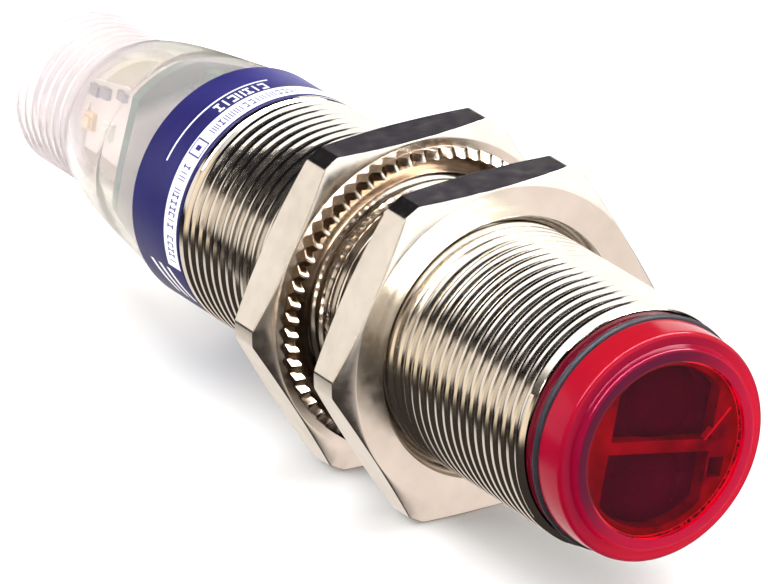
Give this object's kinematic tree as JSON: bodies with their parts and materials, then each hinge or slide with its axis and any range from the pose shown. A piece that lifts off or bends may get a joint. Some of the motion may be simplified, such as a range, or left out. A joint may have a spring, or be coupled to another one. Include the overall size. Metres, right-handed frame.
{
  "type": "photoelectric sensor",
  "caption": "Cylindrical photoelectric sensor with a fine-threaded metal barrel, red lens cap, clear rear housing with a threaded plug, and lock nuts that screw along the barrel.",
  "frame": {"origin": "on the sensing axis at the front end of the threaded metal barrel", "axes": "+X along the barrel out of the lens, +Z square to the top flat of both nuts"},
  "size_m": [0.0768, 0.027, 0.024],
  "materials": {
    "nickel_plated_brass": "nickel plate, bright",
    "label_film": "printed film",
    "red_clear_plastic": "clear, polished",
    "black_rubber": "smooth",
    "black_plastic": "moulded",
    "clear_plastic": "milky clear, moulded",
    "optical_plastic": "clear, polished",
    "board_laminate": "solder resist",
    "chip_black": "moulded",
    "tinned_steel": "tinned",
    "ceramic_tan": "fired",
    "resin_brown": "cast",
    "gold_plated_brass": "gold plate",
    "copper_wire": "bare",
    "led_red": "clear epoxy",
    "led_yellow": "clear epoxy",
    "led_green": "clear epoxy"
  },
  "bodies": {
    "sensor": {"barrel": "nickel_plated_brass", "label_band": "label_film", "lens_cap": "red_clear_plastic", "lens_seal": "black_rubber", "optics_carrier": "black_plastic", "emitter_lens": "optical_plastic", "receiver_lens": "optical_plastic", "emitter_led": "led_red", "receiver_photodiode": "chip_black", "optics_board": "board_laminate", "board_link": "black_plastic", "circuit_board": "board_laminate", "controller_chip": "chip_black", "amplifier_shield": "tinned_steel", "voltage_regulator": "chip_black", "output_transistor": "chip_black", "protection_diode": "chip_black", "ceramic_capacitors": "ceramic_tan", "chip_resistors": "chip_black", "board_bridge": "tinned_steel", "connector_board": "board_laminate", "indicator_board": "board_laminate", "indicator_resistors": "tinned_steel", "output_indicator_led": "led_yellow", "supply_indicator_led": "led_green", "potting_resin": "resin_brown", "rear_housing": "clear_plastic", "rear_seal": "black_rubber", "contact_carrier": "black_plastic", "contact_pin_1": "gold_plated_brass", "contact_pin_2": "gold_plated_brass", "contact_pin_3": "gold_plated_brass", "contact_pin_4": "gold_plated_brass", "lead_wires": "copper_wire"},
    "front_ring": {"front_lock_ring": "nickel_plated_brass"},
    "front_hex": {"front_nut": "nickel_plated_brass"},
    "rear_ring": {"rear_lock_ring": "nickel_plated_brass"},
    "rear_hex": {"rear_nut": "nickel_plated_brass"}
  },
  "joints": [
    {"name": "front_ring_slide", "type": "slide", "parent": "sensor", "child": "front_ring", "axis": [1, 0, 0], "range_m": [-0.00231, 0.01501]},
    {"name": "front_nut_turn", "type": "hinge", "parent": "front_ring", "child": "front_hex", "pos_m": [-0.0177, 0, 0], "axis": [1, 0, 0], "range_deg": [-828, 5400]},
    {"name": "rear_ring_slide", "type": "slide", "parent": "sensor", "child": "rear_ring", "axis": [1, 0, 0], "range_m": [-0.01351, 0.00231]},
    {"name": "rear_nut_turn", "type": "hinge", "parent": "rear_ring", "child": "rear_hex", "pos_m": [-0.028, 0, 0], "axis": [1, 0, 0], "range_deg": [-4860, 828]}
  ],
  "couplings": [
    {"joint": "front_ring_slide", "follows": "front_nut_turn", "m_per_rad": 0.00015915},
    {"joint": "rear_ring_slide", "follows": "rear_nut_turn", "m_per_rad": 0.00015915}
  ]
}
